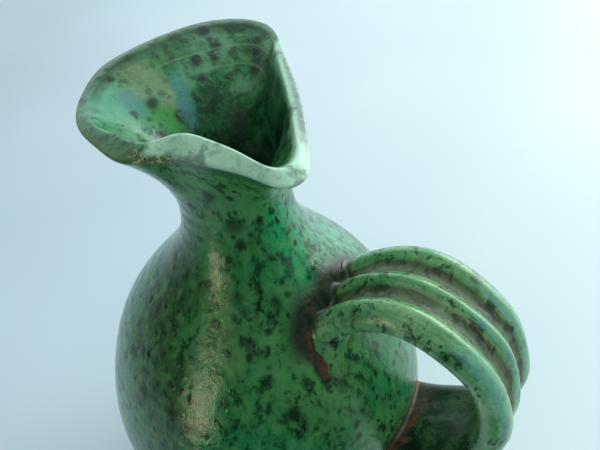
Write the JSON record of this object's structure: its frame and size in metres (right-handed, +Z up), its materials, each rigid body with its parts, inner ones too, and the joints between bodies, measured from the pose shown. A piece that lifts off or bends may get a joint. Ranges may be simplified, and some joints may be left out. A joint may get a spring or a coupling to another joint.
{
  "type": "ceramic pitcher",
  "caption": "Ovoid glazed ceramic pitcher with a narrow neck, a pinched triangular pouring mouth and a ribbed strap handle, for pouring or as a vase",
  "frame": {"origin": "centre of the foot ring, on the surface that the pitcher stands on", "axes": "+Z up along the neck; -X towards the pouring lip; the mouth's straight back edge faces +X; the handle stands out between +X and -Y, 38 degrees round from +X"},
  "size_m": [0.1789, 0.1619, 0.2391],
  "materials": {
    "green_glaze": "glossy",
    "bare_clay": "matte",
    "rust_slip": "glossy"
  },
  "bodies": {
    "root": {"foot_ring": "bare_clay", "body": "green_glaze", "neck_and_mouth": "green_glaze", "handle": "green_glaze", "upper_joint_slip": "rust_slip", "lower_joint_slip": "rust_slip"}
  },
  "joints": []
}
